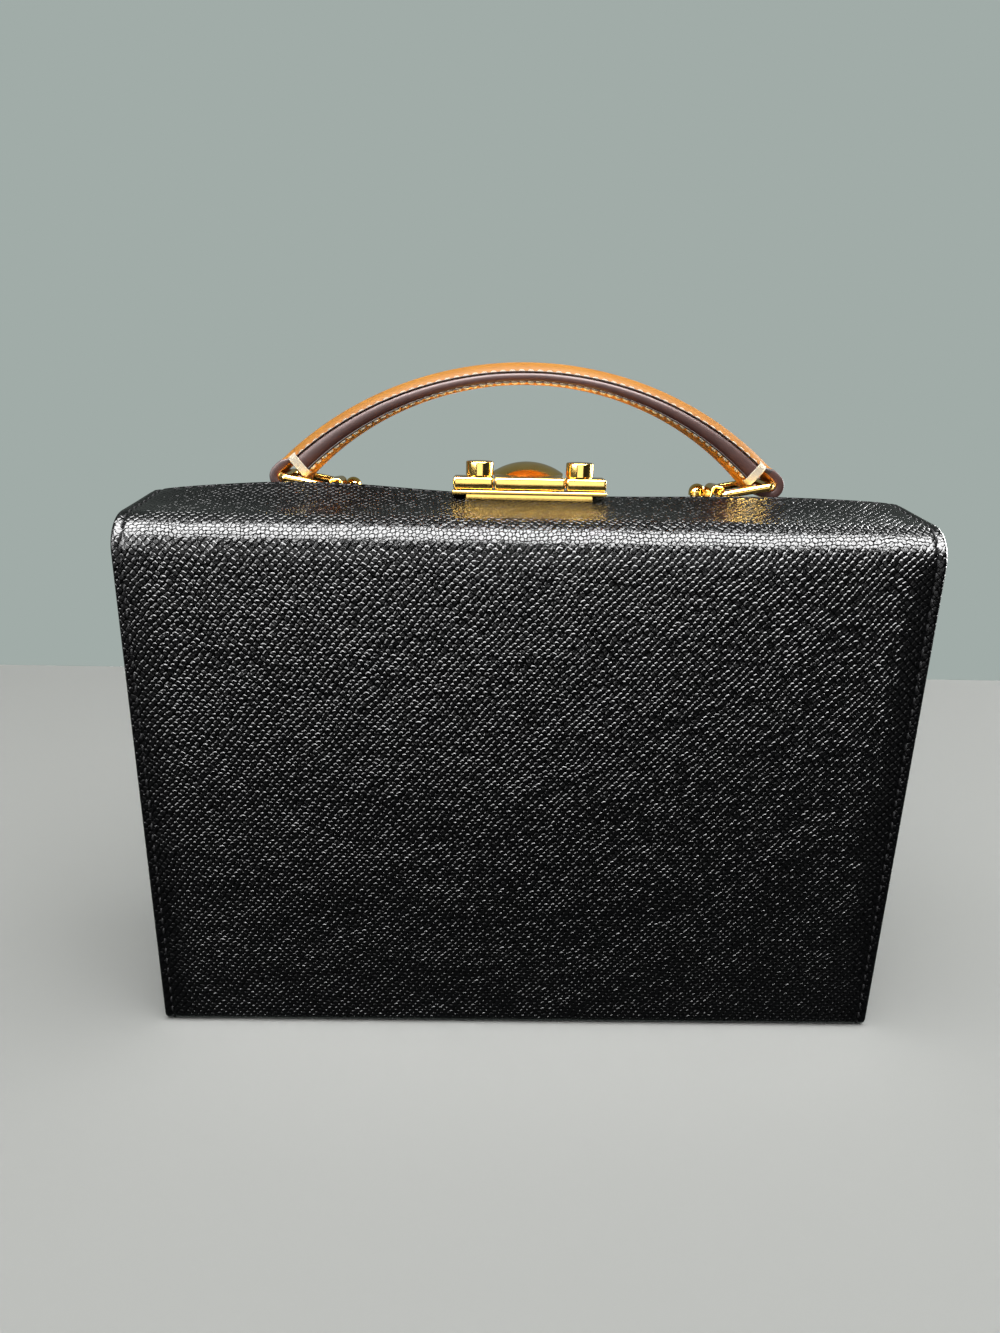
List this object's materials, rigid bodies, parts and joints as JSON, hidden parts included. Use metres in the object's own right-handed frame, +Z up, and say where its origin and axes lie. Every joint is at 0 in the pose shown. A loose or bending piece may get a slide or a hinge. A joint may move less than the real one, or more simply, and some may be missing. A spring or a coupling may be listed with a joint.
{
  "type": "hard-sided box bag with a top handle",
  "caption": "Small hard-sided leather box bag of two half shells, with a brass slide clasp on top and an arched strap handle on brass rings.",
  "frame": {"origin": "centre of the bottom, on the surface that the bag stands on, in the parting plane", "axes": "+X along the bag's width, +Y from the near half to the far half that carries the handle, +Z up"},
  "size_m": [0.19, 0.058, 0.1703],
  "materials": {
    "black_leather": "embossed grain, semi-gloss, painted cut edges",
    "tan_leather": "smooth, slightly waxed",
    "painted_edge": "glossy brown edge paint",
    "polished_brass": "polished"
  },
  "bodies": {
    "far_half": {"far_wrap": "black_leather", "far_left_side": "black_leather", "far_right_side": "black_leather", "bottom_hinge": "polished_brass", "catch_plate": "polished_brass", "hasp_pin": "polished_brass", "handle_upper": "tan_leather", "handle_core": "painted_edge", "handle_lower": "tan_leather", "left_ring": "polished_brass", "right_ring": "polished_brass", "left_ring_mount": "polished_brass", "right_ring_mount": "polished_brass", "left_mount_stud": "polished_brass", "right_mount_stud": "polished_brass"},
    "near_half": {"near_wrap": "black_leather", "near_left_side": "black_leather", "near_right_side": "black_leather", "clasp_base": "polished_brass"},
    "left_slide": {"left_slide": "polished_brass"},
    "right_slide": {"right_slide": "polished_brass"},
    "hasp": {"hasp": "polished_brass"}
  },
  "joints": [
    {"name": "near_half_hinge", "type": "hinge", "parent": "far_half", "child": "near_half", "pos_m": [0, 0, 0.0018], "axis": [1, 0, 0], "range_deg": [0, 45]},
    {"name": "left_slide_travel", "type": "slide", "parent": "near_half", "child": "left_slide", "axis": [-1, 0, 0], "range_m": [0, 0.0025]},
    {"name": "right_slide_travel", "type": "slide", "parent": "near_half", "child": "right_slide", "axis": [1, 0, 0], "range_m": [0, 0.0025]},
    {"name": "hasp_hinge", "type": "hinge", "parent": "far_half", "child": "hasp", "pos_m": [0, 0.0196, 0.13887], "axis": [-1, 0, 0], "range_deg": [0, 55]}
  ]
}
